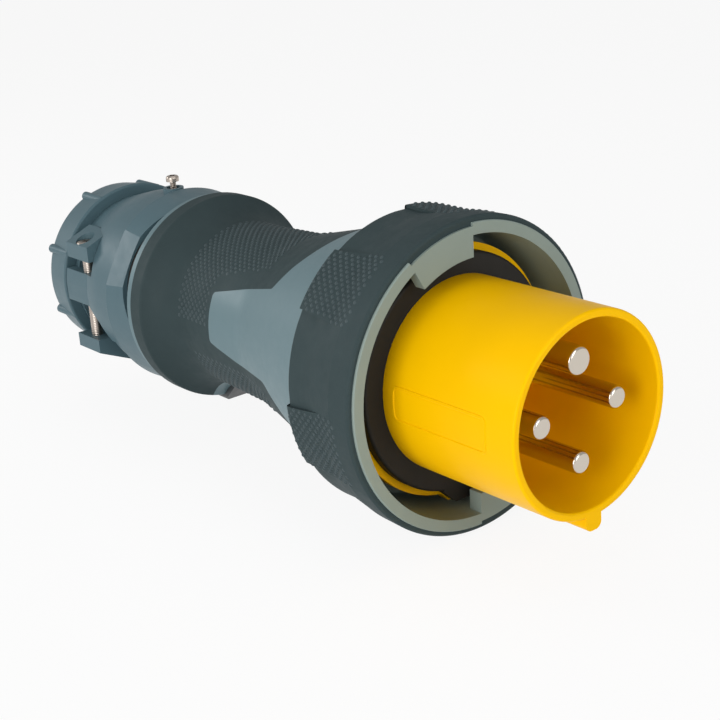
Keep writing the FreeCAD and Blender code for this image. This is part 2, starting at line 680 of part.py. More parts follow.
def ring_grip():
    """Rubber cover of the ring: crowned front, waisted rear, six raised pads."""
    slope = (RING_CORE_FRONT_R - RING_CORE_REAR_R) / (RING_FRONT_X - RING_LIP_LENGTH - RING_REAR_X)
    bore_rear = BELL_R + BODY_GAP
    crown_x = COVER_FRONT_X - COVER_CROWN
    crown_r = COVER_R - COVER_CROWN * math.tan(math.radians(COVER_CROWN_SLOPE))
    waist_x = COVER_FRONT_X - COVER_WAIST_DROP
    body = turned(
        (COVER_REAR_X, bore_rear),
        (COVER_REAR_X, COVER_WAIST_R, COVER_EDGE_ROUND),
        (waist_x, COVER_WAIST_R, COVER_WAIST_BLEND_R),
        (crown_x, crown_r, COVER_CREASE_ROUND),
        (COVER_FRONT_X, COVER_R, COVER_EDGE_ROUND),
        (COVER_FRONT_X, RING_LIP_R),
        (RING_FRONT_X - RING_LIP_LENGTH, RING_LIP_R),
        (RING_FRONT_X - RING_LIP_LENGTH, RING_CORE_FRONT_R),
        (RING_REAR_X, RING_CORE_REAR_R),
        (RING_REAR_X, bore_rear),
    )
    pad_front = COVER_REAR_X + PAD_LENGTH
    band = turned(
        (COVER_REAR_X, RING_CORE_REAR_R + 1),
        (COVER_REAR_X, PAD_R, PAD_CHAMFER),
        (pad_front - PAD_CHAMFER, PAD_R),
        (pad_front + PAD_CHAMFER, PAD_R + slope * PAD_CHAMFER),
        (pad_front + PAD_CHAMFER, RING_CORE_FRONT_R),
    )
    shapes = [body]
    for number in range(PAD_COUNT):
        centre = PAD_FIRST_CENTRE + number * 360 / PAD_COUNT
        wedge = sector(COVER_REAR_X - 1, COVER_FRONT_X, COVER_R + 2, centre, PAD_SPAN)
        shapes.append(band.common(wedge))
    return joined(shapes + lip_flats(COVER_FRONT_X))


def handle_outline(inset):
    """Outline of the handle from the flange to the bell, moved in by an inset."""
    edge_round = GRIP_FLANGE_ROUND if inset == 0 else 0
    return [
        (GRIP_REAR_X, GRIP_FLANGE_R - inset, edge_round),
        (GRIP_FLANGE_FRONT_X, GRIP_FLANGE_R - inset, edge_round),
        (FLARE_X, NECK_REAR_R - inset, FLARE_BLEND_R + inset),
        (NECK_FRONT_X, NECK_FRONT_R - inset, BELL_BLEND_R + inset),
        (BELL_FRONT_X, BELL_R - inset),
    ]


def panel_cutter():
    """Side view of the light part of the handle, extruded from side to side."""
    outline = [(PANEL_END_X, PANEL_REACH_Z, 0)]
    outline.extend(PANEL_CORNERS)
    outline.append((PANEL_END_X, -PANEL_REACH_Z, 0))
    outline.append((BELL_FRONT_X + 1, -PANEL_REACH_Z, 0))
    outline.append((BELL_FRONT_X + 1, PANEL_REACH_Z, 0))
    return prism_xz(outline, -FAR / 2, FAR / 2)


def handle_parts():
    """The light shell and the dark skin moulded over it."""
    outer = turned((GRIP_REAR_X, 0), *handle_outline(0), (BELL_FRONT_X, 0))
    core = turned((GRIP_REAR_X, 0), *handle_outline(RUBBER), (BELL_FRONT_X, 0))
    skin = outer.cut(core)
    half_frame = LATCH_FRAME_WIDTH / 2
    frame = box(GRIP_REAR_X, LATCH_FRAME_FRONT_X, -half_frame, half_frame, -FAR / 2, 0)
    skin = skin.cut([panel_cutter(), frame])

    collar = disc(BELL_FRONT_X, COLLAR_FRONT_X, COLLAR_R)
    bead_rear = HUB_FRONT_X + AXIAL_GAP
    bead = turned(
        (bead_rear, COLLAR_R - 1),
        (bead_rear, COLLAR_R + SNAP_BEAD_HEIGHT),
        (bead_rear + SNAP_BEAD_LENGTH / 3, COLLAR_R + SNAP_BEAD_HEIGHT),
        (bead_rear + SNAP_BEAD_LENGTH, COLLAR_R),
        (bead_rear + SNAP_BEAD_LENGTH, COLLAR_R - 1),
    )
    flange = disc(SHELL_REAR_X, GRIP_REAR_X, SHELL_FLANGE_R)
    spigot = disc(SPIGOT_REAR_X, SHELL_REAR_X, SPIGOT_R)
    whole = joined([outer, collar, bead, flange, spigot])
    pocket_x = CARRIER_REAR_X - CARRIER_SCREW_HEAD - 1
    bore_r = SPIGOT_R - SPIGOT_WALL
    neck_bore = NECK_REAR_R - RUBBER - HANDLE_WALL
    cavity = turned(
        (SPIGOT_REAR_X, 0),
        (SPIGOT_REAR_X, bore_r),
        (GRIP_REAR_X, bore_r),
        (GRIP_FLANGE_FRONT_X, neck_bore),
        (NECK_FRONT_X, neck_bore),
        (pocket_x, CARRIER_R + FIT_GAP),
        (BASE_REAR_X, CARRIER_R + FIT_GAP),
        (BASE_REAR_X, COLLAR_BORE_R),
        (COLLAR_FRONT_X, COLLAR_BORE_R),
        (COLLAR_FRONT_X, 0),
    )
    tip = HOUSING_SCREW_TOP - HOUSING_SCREW_HEAD - HOUSING_SCREW_LENGTH
    screw_hole = upright(SCREW_BOSS_X, 0, tip - AXIAL_GAP, SPIGOT_R + 1, HOUSING_SCREW_R + FIT_GAP)
    half_latch = LATCH_WIDTH / 2
    latch_pocket = box(GRIP_REAR_X, LATCH_FRONT_X, -half_latch, half_latch, -FAR / 2, -LATCH_DEPTH_Z)
    shell = whole.cut([skin, cavity, screw_hole, latch_pocket])
    return shell, skin


def latch():
    """Black latch of the joint, set in its light frame under the rear flange."""
    heel_x = GRIP_REAR_X + LATCH_HEEL_LENGTH
    half = LATCH_WIDTH / 2
    body = prism_xz([
        (GRIP_REAR_X, -LATCH_DEPTH_Z, 0),
        (GRIP_REAR_X, -LATCH_BOTTOM_Z, LATCH_ROUND),
        (heel_x, -LATCH_BOTTOM_Z, LATCH_ROUND),
        (LATCH_FRONT_X, -LATCH_BOTTOM_Z + LATCH_FALL, 0),
        (LATCH_FRONT_X, -LATCH_DEPTH_Z, 0),
    ], -half, half)
    section = prism_yz([
        (-half, -LATCH_DEPTH_Z, 0),
        (-half, -LATCH_BOTTOM_Z, LATCH_SIDE_ROUND),
        (half, -LATCH_BOTTOM_Z, LATCH_SIDE_ROUND),
        (half, -LATCH_DEPTH_Z, 0),
    ], GRIP_REAR_X, LATCH_FRONT_X)
    return body.common(section)


def joint_seal():
    """Black ring in the joint between handle and rear housing, seen where the crescents are cut."""
    return tube(JOINT_SEAL_REAR_X, SHELL_REAR_X, JOINT_SEAL_R, SPIGOT_R)


def housing_side_cuts(angle):
    """The flat on the front band and the crescent in the front edge, at one angle."""
    crown = REAR_CROWN_R - REAR_FLAT_DEPTH
    flat = prism_xz([
        (REAR_FRONT_X, REAR_FRONT_R - REAR_FLAT_FRONT_DEPTH, 0),
        (REAR_CROWN_X, crown, 0),
        (REAR_STEP_X, crown, 0),
        (REAR_STEP_X, FAR / 2, 0),
        (REAR_FRONT_X, FAR / 2, 0),
    ], -FAR / 2, FAR / 2)
    half_width = REAR_FRONT_R * math.sin(math.radians(CRESCENT_HALF_SPAN))
    low = REAR_FRONT_R * math.cos(math.radians(CRESCENT_HALF_SPAN))
    cut_r = (half_width ** 2 + CRESCENT_DEPTH ** 2) / (2 * CRESCENT_DEPTH)
    crescent = upright(REAR_FRONT_X - CRESCENT_DEPTH + cut_r, 0, low, FAR / 2, cut_r)
    cuts = [flat, crescent]
    for cut in cuts:
        cut.rotate(ORIGIN, AXIS, angle - EARTH_PIN_ANGLE)
    return cuts


def ear_outline(shift, reach):
    """Outline of an upper ear; shift lifts its top faces and reach carries it further in and out."""
    rise = (EAR_Y - JAW_HALF_WIDTH) * math.tan(math.radians(EAR_TOP_SLOPE))
    root_y = JAW_BORE_R - 1
    top = EAR_TOP_Z + shift
    return [
        (-EAR_Y - reach, EAR_BOTTOM_Z, 0),
        (-EAR_Y - reach, top, 0),
        (-EAR_Y, top, 0),
        (-JAW_HALF_WIDTH, top + rise, 0),
        (-root_y, top - 1, 0),
        (-root_y, EAR_BOTTOM_Z, 0),
    ]


def lower_ear_foot(shift, reach):
    """Outline of a lower ear's sloped foot; shift lowers it and reach carries it further out."""
    foot = LOWER_EAR_BOTTOM_Z - shift
    knee_y = EAR_Y - LOWER_EAR_REACH - shift
    return [
        (-knee_y, foot - LOWER_EAR_DROP, 0),
        (-knee_y, LOWER_EAR_TOP_Z, 0),
        (-EAR_Y - reach, LOWER_EAR_TOP_Z, 0),
        (-EAR_Y - reach, foot, 0),
        (-EAR_Y, foot, 0),
    ]


def window_cutter():
    """Openings of one side of the rear housing: above the web, and the slanted one below it."""
    upper = prism_yz(ear_outline(AXIAL_GAP, RING_LIP_R - EAR_Y), WINDOW_REAR_X, WINDOW_FRONT_X)
    under = box(WINDOW_REAR_X, WINDOW_FRONT_X, -RING_LIP_R, -JAW_BORE_R + 1, WEB_TOP_Z, EAR_BOTTOM_Z + 1)
    low_z = LOWER_EAR_BOTTOM_Z - AXIAL_GAP
    lower = prism_xz([
        (WINDOW_REAR_X, WEB_BOTTOM_Z, 0),
        (SLANT_TOP_X, WEB_BOTTOM_Z, 0),
        (SLANT_BEND_X, SLANT_BEND_Z, 0),
        (SLANT_LOW_X, low_z, 0),
        (WINDOW_REAR_X, low_z, 0),
    ], -RING_LIP_R, -WINDOW_DEPTH_Y)
    foot = prism_yz(lower_ear_foot(AXIAL_GAP, RING_LIP_R - EAR_Y), WINDOW_REAR_X, SLANT_LOW_X)
    return joined([upper, under, lower, foot])


def rear_housing():
    """Tapered housing with a screw boss, side windows, cheeks and the threaded neck of the gland."""
    body = turned(
        (NECK_END_X, 0),
        (NECK_END_X, NECK_THREAD_R, NECK_THREAD_ROUND),
        (REAR_TAIL_X, NECK_THREAD_R),
        (REAR_TAIL_X, REAR_TAIL_R),
        (REAR_MID_X, REAR_MID_R, REAR_BLEND_R),
        (REAR_STEP_X, REAR_CROWN_R - REAR_STEP_DROP),
        (REAR_CROWN_X, REAR_CROWN_R, REAR_CROWN_ROUND),
        (REAR_FRONT_X, REAR_FRONT_R, REAR_CROWN_ROUND),
        (REAR_FRONT_X, 0),
    )
    body = body.cut(housing_side_cuts(REAR_FLAT_ANGLE) + housing_side_cuts(180 - REAR_FLAT_ANGLE))
    cheek = disc(REAR_TAIL_X + 1, WINDOW_FRONT_X + 1, CHEEK_R)
    cheek = cheek.common(box(REAR_TAIL_X, WINDOW_FRONT_X + 1, -EAR_Y, EAR_Y, WEB_BOTTOM_Z, WEB_TOP_Z))
    boss = upright(SCREW_BOSS_X, 0, SPIGOT_R + 1, SCREW_BOSS_TOP, SCREW_BOSS_R)
    body = joined([body, cheek, boss])
    bore_r = SPIGOT_R + FIT_GAP
    seat_x = SPIGOT_REAR_X - AXIAL_GAP
    cavity = turned(
        (GLAND_LIP_FRONT_X, 0),
        (GLAND_LIP_FRONT_X, CHAMBER_REAR_R),
        (seat_x, CHAMBER_FRONT_R),
        (seat_x, bore_r),
        (JOINT_SEAL_REAR_X, bore_r),
        (JOINT_SEAL_REAR_X, JOINT_SEAL_R),
        (REAR_FRONT_X, JOINT_SEAL_R),
        (REAR_FRONT_X, 0),
    )
    gland = disc(NECK_END_X, GLAND_LIP_REAR_X, GLAND_POCKET_R)
    lip = disc(GLAND_LIP_REAR_X, GLAND_LIP_FRONT_X, GLAND_LIP_R)
    pocket = upright(SCREW_BOSS_X, 0, SCREW_BOSS_TOP - SCREW_POCKET_DEPTH, SCREW_BOSS_TOP, SCREW_POCKET_R)
    screw_hole = upright(SCREW_BOSS_X, 0, SPIGOT_R - 2, SCREW_BOSS_TOP, HOUSING_SCREW_R)
    body = body.cut([cavity, gland, lip, pocket, screw_hole])
    web_block = box(
        CLAMP_REAR_X, CLAMP_FRONT_X,
        -CHAMBER_REAR_R - 1, -CLAMP_SCREW_Y + CLAMP_SCREW_R + 2, WEB_BOTTOM_Z, WEB_TOP_Z,
    )
    body = joined([body, web_block, mirrored(web_block)])
    window = window_cutter()
    shafts = []
    for side in (-1, 1):
        y = side * CLAMP_SCREW_Y
        shafts.append(upright(CLAMP_X, y, WEB_BOTTOM_Z, WEB_TOP_Z, CLAMP_SCREW_R + RUN_GAP))
    return body.cut([window, mirrored(window)] + shafts)


def housing_screw():
    """Small pan-head screw with a cross recess."""
    head_foot = HOUSING_SCREW_TOP - HOUSING_SCREW_HEAD
    tip = head_foot - HOUSING_SCREW_LENGTH
    shank = upright(SCREW_BOSS_X, 0, tip, head_foot, HOUSING_SCREW_R)
    head = pan_head(SCREW_BOSS_X, 0, head_foot, HOUSING_SCREW_TOP, HOUSING_SCREW_HEAD_R)
    screw = joined([shank, head])
    return screw.cut(cross_recess(SCREW_BOSS_X, 0, HOUSING_SCREW_TOP, HOUSING_SCREW_HEAD_R))


def pan_head(x, y, low_z, high_z, radius):
    """Round screw head with a rounded top edge."""
    outline = [
        (FreeCAD.Vector(0, 0, low_z), 0),
        (FreeCAD.Vector(radius, 0, low_z), 0),
        (FreeCAD.Vector(radius, 0, high_z), PAN_HEAD_ROUND),
        (FreeCAD.Vector(0, 0, high_z), 0),
    ]
    head = Part.Face(rounded_wire(outline)).revolve(ORIGIN, UP, 360)
    head.translate(FreeCAD.Vector(x, y, 0))
    return head


def cross_recess(x, y, top, head_r):
    """Cross-shaped recess in a screw's head."""
    arm = head_r * 0.55
    half = CROSS_WIDTH / 2
    low = top - CROSS_DEPTH
    first = box(x - arm, x + arm, y - half, y + half, low, top + 1)
    second = box(x - half, x + half, y - arm, y + arm, low, top + 1)
    return first.fuse(second)


def screw_head_foot():
    """Height of the clamp screw's head in its recess."""
    return EAR_TOP_Z - CLAMP_RECESS_DEPTH


def saddle(low_z, high_z):
    """Block of a jaw between two heights, trimmed to run inside the housing."""
    block = box(CLAMP_REAR_X, CLAMP_FRONT_X, -JAW_HALF_WIDTH, JAW_HALF_WIDTH, low_z, high_z)
    return block.common(disc(CLAMP_REAR_X, CLAMP_FRONT_X, CHAMBER_REAR_R - BODY_GAP))


def upper_clamp():
    """Upper jaw: saddle over the cable, with an ear on each side that has a recess for the screw's head."""
    ear = prism_yz([(-EAR_Y, EAR_BOTTOM_Z, 0)] + ear_outline(0, 0)[2:], CLAMP_REAR_X, CLAMP_FRONT_X)
    body = joined([saddle(JAW_EDGE_Z, JAW_TOP_Z), ear, mirrored(ear)])
    cuts = [disc(CLAMP_REAR_X, CLAMP_FRONT_X, JAW_BORE_R)]
    for side in (-1, 1):
        y = side * CLAMP_SCREW_Y
        cuts.append(upright(CLAMP_X, y, screw_head_foot(), FAR, CLAMP_SCREW_HEAD_R + FIT_GAP))
        cuts.append(upright(CLAMP_X, y, EAR_BOTTOM_Z - 1, screw_head_foot(), CLAMP_SCREW_R))
    return body.cut(cuts)


def lower_clamp():
    """Lower jaw: saddle under the cable, with ears that hold the captive nuts."""
    ear = box(
        CLAMP_REAR_X, CLAMP_FRONT_X,
        -EAR_Y, -WINDOW_DEPTH_Y - AXIAL_GAP, LOWER_EAR_BOTTOM_Z, LOWER_EAR_TOP_Z,
    )
    foot = prism_yz(lower_ear_foot(0, 0)[:-1], CLAMP_REAR_X, CLAMP_FRONT_X)
    body = joined([saddle(-JAW_TOP_Z, -JAW_EDGE_Z), ear, foot, mirrored(ear), mirrored(foot)])
    cuts = [disc(CLAMP_REAR_X, CLAMP_FRONT_X, JAW_BORE_R)]
    for side in (-1, 1):
        y = side * CLAMP_SCREW_Y
        hole_r = CLAMP_SCREW_R + RUN_GAP
        cuts.append(upright(CLAMP_X, y, LOWER_EAR_BOTTOM_Z, LOWER_EAR_TOP_Z, hole_r))
        pocket_z = LOWER_EAR_BOTTOM_Z - LOWER_EAR_DROP
        cuts.append(nut_block(y, pocket_z, LOWER_EAR_BOTTOM_Z + CLAMP_NUT_THICK))
    return body.cut(cuts)


def nut_block(y, low_z, high_z):
    """A square block the size of a captive nut."""
    half = CLAMP_NUT_R
    return box(CLAMP_X - half, CLAMP_X + half, y - half, y + half, low_z, high_z)


def clamp_nut(side):
    """Square nut in the lower ear."""
    y = side * CLAMP_SCREW_Y
    low = LOWER_EAR_BOTTOM_Z
    block = nut_block(y, low, low + CLAMP_NUT_THICK)
    return block.cut(upright(CLAMP_X, y, low, low + CLAMP_NUT_THICK, CLAMP_SCREW_R + RUN_GAP))


def clamp_screw(side):
    """Long screw from the upper ear down through the web to the nut."""
    y = side * CLAMP_SCREW_Y
    foot = screw_head_foot()
    shank = upright(CLAMP_X, y, LOWER_EAR_BOTTOM_Z - CLAMP_SCREW_TAIL, foot, CLAMP_SCREW_R)
    head = pan_head(CLAMP_X, y, foot, foot + CLAMP_SCREW_HEAD, CLAMP_SCREW_HEAD_R)
    screw = joined([shank, head])
    return screw.cut(cross_recess(CLAMP_X, y, foot + CLAMP_SCREW_HEAD, CLAMP_SCREW_HEAD_R))


def cable_seal():
    """Rubber sleeve round the cable."""
    return turned(
        (NECK_END_X, SLEEVE_BORE_R + SLEEVE_LIP),
        (NECK_END_X, GLAND_POCKET_R),
        (GLAND_LIP_REAR_X, GLAND_POCKET_R),
        (GLAND_LIP_REAR_X, SLEEVE_BORE_R),
        (NECK_END_X + SLEEVE_LIP, SLEEVE_BORE_R),
    )


def thrust_ring():
    """Slip ring that keeps the nut from twisting the sleeve."""
    return tube(SLIP_RING_REAR_X, NECK_END_X, GLAND_POCKET_R, SLIP_RING_BORE_R)


def gland_nut():
    """Ribbed nut that runs on the neck and presses the slip ring."""
    thread_r = NECK_THREAD_R + RUN_GAP
    body = turned(
        (NUT_REAR_X, NUT_BORE_R),
        (NUT_REAR_X, NUT_REAR_R, NUT_EDGE_ROUND),
        (NUT_FRONT_X, NUT_FRONT_R, NUT_EDGE_ROUND),
        (NUT_FRONT_X, thread_r),
        (SLIP_RING_REAR_X, thread_r),
        (SLIP_RING_REAR_X, NUT_BORE_R),
    )
    shapes = [body]
    for number in range(NUT_RIB_COUNT):
        angle = NUT_RIB_FIRST + number * 360 / NUT_RIB_COUNT
        centre_r = NUT_FRONT_R - NUT_RIB_R
        shapes.append(rod(NUT_REAR_X, NUT_FRONT_X - NUT_EDGE_ROUND, NUT_RIB_R, angle, centre_r))
    return joined(shapes)


def export(name, shape):
    """Write one node and say what it holds."""
    shape.exportStep(f"parts/{name}.step")
    size = shape.BoundBox
    print(
        f"{name:18s} solids {len(shape.Solids)} valid {shape.isValid()} volume {shape.Volume:10.1f}"
        f"  x {size.XMin:7.2f} {size.XMax:7.2f}  y {size.YMin:6.2f} {size.YMax:6.2f}"
        f"  z {size.ZMin:6.2f} {size.ZMax:6.2f}"
    )


def main():
    """Build every piece and write it."""
    os.makedirs("parts", exist_ok=True)
    export("contact_shroud", contact_shroud())
    export("face_gasket", face_gasket())
    export("insert_seal", insert_seal())
    for name, angle, radius in pin_places():
        export(name, contact_pin(angle, radius))
    export("terminal_carrier", terminal_carrier())
    all_angles = [angle for name, angle, radius in pin_places()]
    export("terminal_screws", Part.makeCompound([terminal_screw(angle) for angle in all_angles]))
    export("carrier_screws", Part.makeCompound([carrier_screw(angle) for angle in CARRIER_SCREW_ANGLES]))
    shell, skin = handle_parts()
    export("handle_shell", shell)
    export("handle_grip", skin)
    export("latch", latch())
    export("joint_seal", joint_seal())
    export("rear_housing", rear_housing())
    export("housing_screw", housing_screw())
    export("cable_seal", cable_seal())
    export("thrust_ring", thrust_ring())
    export("gland_nut", gland_nut())
    export("upper_clamp", upper_clamp())
    export("lower_clamp", lower_clamp())
    export("clamp_screws", Part.makeCompound([clamp_screw(-1), clamp_screw(1)]))
    export("clamp_nuts", Part.makeCompound([clamp_nut(-1), clamp_nut(1)]))
    export("locking_ring", locking_ring())
    export("ring_grip", ring_grip())


main()
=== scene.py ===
"""Looks of the locking power plug: finishes, fine detail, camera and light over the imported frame."""
import sys
import logging
import math
from collections.abc import Callable
from dataclasses import dataclass, field
from enum import Enum

import bpy
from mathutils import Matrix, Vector
from mathutils.bvhtree import BVHTree


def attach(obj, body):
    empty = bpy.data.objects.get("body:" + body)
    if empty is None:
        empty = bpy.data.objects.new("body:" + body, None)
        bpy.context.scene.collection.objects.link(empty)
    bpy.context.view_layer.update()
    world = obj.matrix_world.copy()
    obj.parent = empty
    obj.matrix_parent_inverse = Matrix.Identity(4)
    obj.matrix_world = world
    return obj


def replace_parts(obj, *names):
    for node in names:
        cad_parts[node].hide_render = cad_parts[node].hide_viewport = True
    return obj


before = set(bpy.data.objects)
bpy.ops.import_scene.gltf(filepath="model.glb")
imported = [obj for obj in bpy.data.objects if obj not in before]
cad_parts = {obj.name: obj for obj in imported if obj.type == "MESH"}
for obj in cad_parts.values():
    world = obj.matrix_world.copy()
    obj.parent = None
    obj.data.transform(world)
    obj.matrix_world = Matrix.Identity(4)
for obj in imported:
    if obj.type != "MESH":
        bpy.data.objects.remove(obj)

MM = 0.001
LOG = logging.getLogger("plug")
Corner = tuple[float, float, float]
Colour = tuple[float, float, float, float]


class Body(Enum):
    """Bodies of the frame that the drawn pieces ride on."""

    HOUSING = "housing"
    RING = "locking_ring_body"
    UPPER_JAW = "upper_jaw_body"


class Slot(Enum):
    """Material slots of the record."""

    YELLOW = "yellow_plastic"
    DARK_RUBBER = "dark_rubber"
    STEEL = "plated_steel"


def linear(code: str) -> Colour:
    """Turn an sRGB hex colour to linear light.

    Args:
        code: Colour as RRGGBB.

    Returns:
        Linear red, green, blue and a full alpha.
    """
    values = []
    for start in (0, 2, 4):
        level = int(code[start:start + 2], 16) / 255
        values.append(level / 12.92 if level <= 0.04045 else ((level + 0.055) / 1.055) ** 2.4)
    return values[0], values[1], values[2], 1.0


def add_node(tree: bpy.types.NodeTree, kind: str, links: dict[str | int, object] | None = None,
             **settings: object) -> bpy.types.Node:
    """Add a node with its settings, socket values and links.

    Args:
        tree: Node tree that takes it.
        kind: Blender's name of the node type.
        links: Socket name or number, to a value or to the output socket that feeds it.
        **settings: Properties of the node itself.

    Returns:
        The new node.
    """
    node = tree.nodes.new(kind)
    for name, value in settings.items():
        setattr(node, name, value)
    for name, value in (links or {}).items():
        if isinstance(value, bpy.types.NodeSocket):
            tree.links.new(value, node.inputs[name])
        else:
            node.inputs[name].default_value = value
    return node


@dataclass(frozen=True)
class Finish:
    """A finish with a fine grain, a slow wander of its colour and handling marks in its gloss."""

    name: str
    colour: str
    roughness: float
    ior: float = 1.5
    metallic: float = 0.0
    gloss: float = 0.5
    grain_mm: float = 0.5
    grain_depth_mm: float = 0.01
    mottle: float = 0.06
    mottle_mm: float = 14.0
    marks: float = 0.12
    marks_mm: float = 5.0

    def material(self) -> bpy.types.Material:
        """Build the material, or take it if it was built before.

        Returns:
            The material.
        """
        made = bpy.data.materials.get(self.name)
        if made is not None:
            return made
        made = bpy.data.materials.new(self.name)
        made.use_nodes = True
        tree = made.node_tree
        tree.nodes.clear()
        place = add_node(tree, "ShaderNodeTexCoord").outputs["Object"]
        shader = add_node(tree, "ShaderNodeBsdfPrincipled", {
            "Base Color": self.tint(tree, place),
            "Roughness": self.sheen(tree, place),
            "Metallic": self.metallic,
            "Normal": self.relief(tree, place),
        })
        if not self.metallic:
            shader.inputs["IOR"].default_value = self.ior
            shader.inputs["Specular IOR Level"].default_value = self.gloss
        add_node(tree, "ShaderNodeOutputMaterial", {"Surface": shader.outputs["BSDF"]})
        made.diffuse_color = linear(self.colour)
        return made

    def tint(self, tree: bpy.types.NodeTree, place: bpy.types.NodeSocket) -> bpy.types.NodeSocket:
        """Colour that wanders a little over the surface, as pigment does in a moulding.

        Args:
            tree: Node tree of the material.
            place: Position on the piece.

        Returns:
            The colour socket.
        """
        cloud = add_node(tree, "ShaderNodeTexNoise", {
            "Vector": place, "Scale": 1 / (self.mottle_mm * MM), "Detail": 3.0, "Roughness": 0.6,
        })
        red, green, blue, alpha = linear(self.colour)
        low, high = 1 - self.mottle, 1 + self.mottle
        return add_node(tree, "ShaderNodeMix", {
            0: cloud.outputs["Fac"],
            6: (red * low, green * low, blue * low, alpha),
            7: (min(red * high, 1), min(green * high, 1), min(blue * high, 1), alpha),
        }, data_type="RGBA").outputs[2]

    def sheen(self, tree: bpy.types.NodeTree, place: bpy.types.NodeSocket) -> bpy.types.NodeSocket:
        """Roughness that varies with handling marks.

        Args:
            tree: Node tree of the material.
            place: Position on the piece.

        Returns:
            The roughness socket.
        """
        marks = add_node(tree, "ShaderNodeTexNoise", {
            "Vector": place, "Scale": 1 / (self.marks_mm * MM), "Detail": 4.0, "Roughness": 0.65,
        })
        return add_node(tree, "ShaderNodeMapRange", {
            "Value": marks.outputs["Fac"], "From Min": 0.3, "From Max": 0.7,
            "To Min": self.roughness * (1 - self.marks), "To Max": self.roughness * (1 + self.marks),
        }).outputs["Result"]

    def relief(self, tree: bpy.types.NodeTree, place: bpy.types.NodeSocket) -> bpy.types.NodeSocket:
        """Fine grain of the surface as bump.

        Args:
            tree: Node tree of the material.
            place: Position on the piece.

        Returns:
            The normal socket.
        """
        grain = add_node(tree, "ShaderNodeTexNoise", {
            "Vector": place, "Scale": 1 / (self.grain_mm * MM), "Detail": 2.0, "Roughness": 0.5,
        })
        return add_node(tree, "ShaderNodeBump", {
            "Height": grain.outputs["Fac"], "Strength": 1.0, "Distance": self.grain_depth_mm * MM,
        }).outputs["Normal"]


@dataclass(frozen=True)
class MouldedPolyamide(Finish):
    """Polyamide moulded in a spark-eroded tool: satin, its grain drawn three times as coarse to show."""


@dataclass(frozen=True)
class MouldedRubber(Finish):
    """Thermoplastic rubber moulded over the hard shell: deep matt, its gloss broken by a soft grain.

    The grain is drawn coarser than the real one, which is too fine to show.
    """

    ior: float = 1.46
    gloss: float = 0.13
    grain_mm: float = 0.7
    grain_depth_mm: float = 0.03
    mottle: float = 0.1


@dataclass(frozen=True)
class TurnedMetal(Finish):
    """Plated metal turned on a lathe: mirror-like, drawn into fine rings across the axis of the plug."""

    metallic: float = 1.0
    ring_mm: float = 0.25
    across_mm: float = 50.0

    def relief(self, tree: bpy.types.NodeTree, place: bpy.types.NodeSocket) -> bpy.types.NodeSocket:
        """Turning marks as rings a quarter of a millimetre apart, coarser than real ones so that they show.

        Args:
            tree: Node tree of the material.
            place: Position on the piece.

        Returns:
            The normal socket.
        """
        across = 1 / (self.across_mm * MM)
        along = add_node(tree, "ShaderNodeMapping", {
            "Vector": place, "Scale": (1 / (self.ring_mm * MM), across, across),
        })
        rings = add_node(tree, "ShaderNodeTexNoise", {
            "Vector": along.outputs["Vector"], "Scale": 1.0, "Detail": 2.0, "Roughness": 0.5,
        })
        return add_node(tree, "ShaderNodeBump", {
            "Height": rings.outputs["Fac"], "Strength": 1.0, "Distance": self.grain_depth_mm * MM,
        }).outputs["Normal"]


# Signal yellow polyamide: an even, saturated colour whose satin gloss blurs the lamps to broad patches
YELLOW_POLYAMIDE = MouldedPolyamide(
    "yellow_polyamide", "FAC000", 0.36, gloss=0.05, mottle=0.02, grain_depth_mm=0.006,
)
# Blue-grey polyamide of the handle's shell: cool and flat, a little lighter where light grazes it
GREY_POLYAMIDE = MouldedPolyamide("grey_polyamide", "637A80", 0.42, gloss=0.24, mottle=0.03)
# The same polyamide in housing, clamp and nut, painted darker as the shade of the less lit rear end: it sets
# the rear end off from the handle
PAINTED_SHADE_POLYAMIDE = MouldedPolyamide("grey_polyamide_painted_shade", "4F676F", 0.4, gloss=0.2, mottle=0.03)
# Neutral grey polyamide of the ring's core, with more glass fibre, so it looks drier and warmer
RING_POLYAMIDE = MouldedPolyamide("ring_polyamide", "87958F", 0.5, gloss=0.25, mottle=0.04)
# Black polyamide of latch, terminal carrier and slip ring: near black, with a satin shine that rubber lacks
BLACK_POLYAMIDE = MouldedPolyamide("black_polyamide", "23282A", 0.4, mottle=0.08)
# Slate rubber of grip and ring cover: dark green-grey, matt, with dust-fine grain
SLATE_RUBBER = MouldedRubber("slate_rubber", "354244", 0.6)
# Domes of the knurl: the same rubber, painted paler as a highlight that sets them off from the shaded ground
# between them, and a little shinier
KNURL_HIGHLIGHT_RUBBER = MouldedRubber("knurl_rubber_painted_highlight", "3D4A4D", 0.52, gloss=0.24)
# Black sealing rubber: darker and warmer than the grip, a soft shine from its release agent
SEAL_RUBBER = MouldedRubber("seal_rubber", "2B2A28", 0.5, mottle=0.12)
# Nickel on turned brass: warm mirror with fine rings from the lathe
NICKEL_PLATE = TurnedMetal("nickel_plated_brass", "CDC4B8", 0.18, grain_depth_mm=0.004, mottle=0.03)
# Zinc on steel screws: paler and more clouded than the nickel
ZINC_PLATE = TurnedMetal("zinc_plated_steel", "B9AEA4", 0.3, grain_depth_mm=0.006, mottle=0.08, mottle_mm=3.0)


def dress(finish: Finish, *nodes: str) -> None:
    """Give nodes of the frame their finish.

    Args:
        finish: Finish that they take.
        *nodes: Names of the nodes.
    """
    for node in nodes:
        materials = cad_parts[node].data.materials
        materials.clear()
        materials.append(finish.material())
        LOG.info("dressed %s in %s", node, finish.name)


